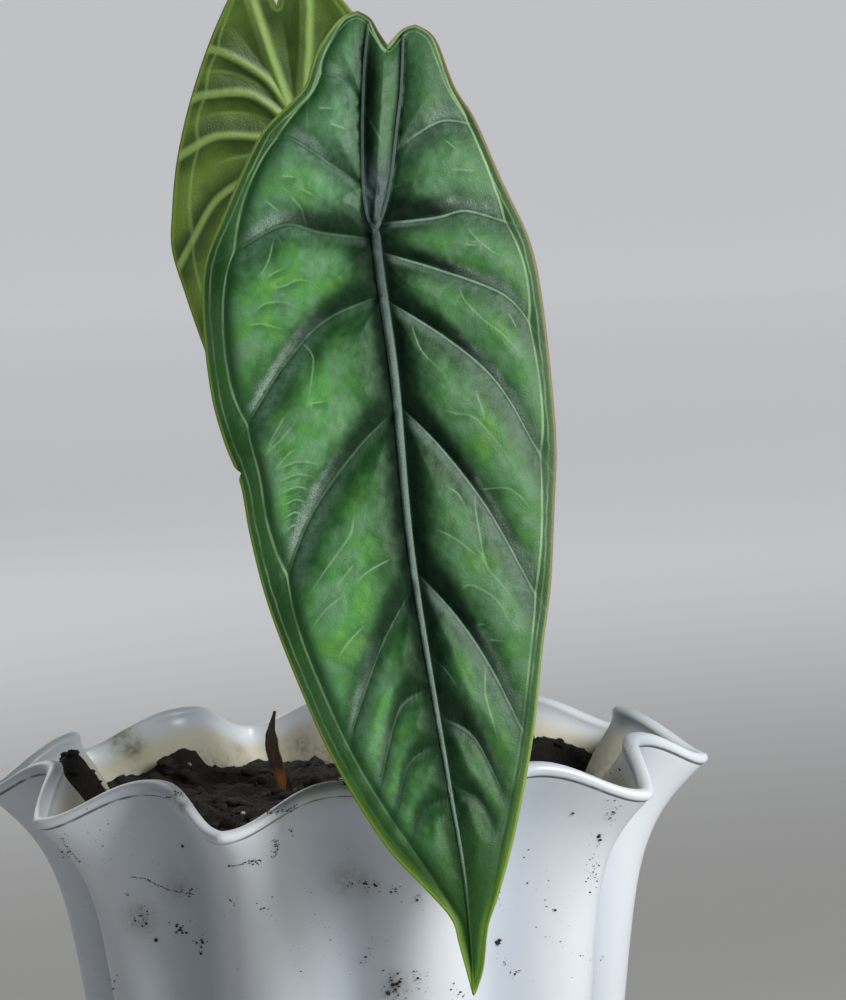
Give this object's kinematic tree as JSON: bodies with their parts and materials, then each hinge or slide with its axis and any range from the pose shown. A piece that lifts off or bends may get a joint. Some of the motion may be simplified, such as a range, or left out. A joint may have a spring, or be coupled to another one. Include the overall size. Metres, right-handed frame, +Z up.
{
  "type": "potted alocasia plant",
  "caption": "Potted alocasia with thick quilted shield-shaped leaves hanging on arching stalks, in a pleated white pot with a ruffled rim.",
  "frame": {"origin": "centre of the pot's flat base, on the surface that it stands on", "axes": "+Z up through the pot, -Y towards the front leaf, +X to the right as seen from the front leaf's side"},
  "size_m": [0.1534, 0.2095, 0.2939],
  "materials": {
    "pot": "satin moulded plastic, bluish white, with specks of dirt and an olive stain inside the rim",
    "soil": "damp, dark, crumbly bark and peat mix",
    "rhizome": "rough brown bark with pale ring scars",
    "leaf_front": "thick satin leaf, dark along the sunken veins and bright green between them, silvery veins and a pale green edge",
    "leaf_back": "satin olive green underside with raised pale green veins",
    "stalk": "smooth satin green stalk with fine darker flecks",
    "bract": "dry papery brown"
  },
  "bodies": {
    "root": {"pot": "pot", "soil": "soil", "rhizome": "rhizome", "leaf_front_blade": "leaf_front", "leaf_front_stalk": "stalk", "leaf_back_blade": "leaf_back", "leaf_back_stalk": "stalk", "dried_bract": "bract"}
  },
  "joints": []
}
